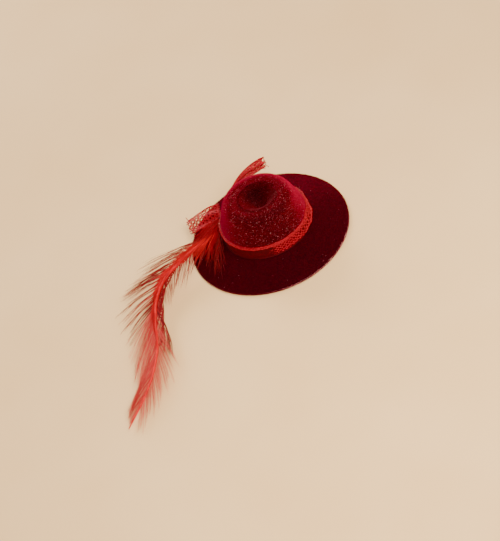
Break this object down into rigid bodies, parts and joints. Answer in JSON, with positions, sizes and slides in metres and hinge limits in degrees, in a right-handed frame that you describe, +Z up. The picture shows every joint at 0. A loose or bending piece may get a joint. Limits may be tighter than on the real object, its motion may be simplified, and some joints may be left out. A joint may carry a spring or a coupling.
{
  "type": "miniature wide-brimmed plumed hat",
  "caption": "Doll's-house hat: flocked round crown with a dented top, wide sloping brim, tied mesh ribbon band and one long dyed plume sweeping forward over the left of the brim.",
  "frame": {"origin": "centre of the head opening, where the opening's wall meets the underside of the brim", "axes": "+Z up along the crown's axis, -Y the front of the hat, -X the side with the plume and the knot"},
  "size_m": [0.0744, 0.0676, 0.0153],
  "materials": {
    "moulded_form": "moulded stiff form, dull dark red, bare inside the crown and on the cut rim",
    "flock": "short upright viscose flock fibre, deep burgundy with a pink sheen at grazing angles",
    "ribbon_mesh": "open diamond-mesh net ribbon with rolled edges, bright scarlet",
    "feather_keratin": "dyed quill and shaft, satin",
    "feather_web": "dyed barbs lying side by side, silky and slightly see-through",
    "feather_down": "loose dyed downy barbs, soft and translucent",
    "clear_glue": "set clear glue, glossy, tinted by the dye"
  },
  "bodies": {
    "root": {"hat_form": "moulded_form", "flock_upper": "flock", "flock_under": "flock", "ribbon_band": "ribbon_mesh", "ribbon_knot": "ribbon_mesh", "ribbon_tail_back": "ribbon_mesh", "ribbon_tail_side": "ribbon_mesh", "feather_shaft": "feather_keratin", "feather_down_outer": "feather_down", "feather_down_inner": "feather_down", "feather_vane_outer": "feather_web", "feather_vane_inner": "feather_web", "feather_tuft": "feather_down", "glue_pad": "clear_glue"}
  },
  "joints": []
}
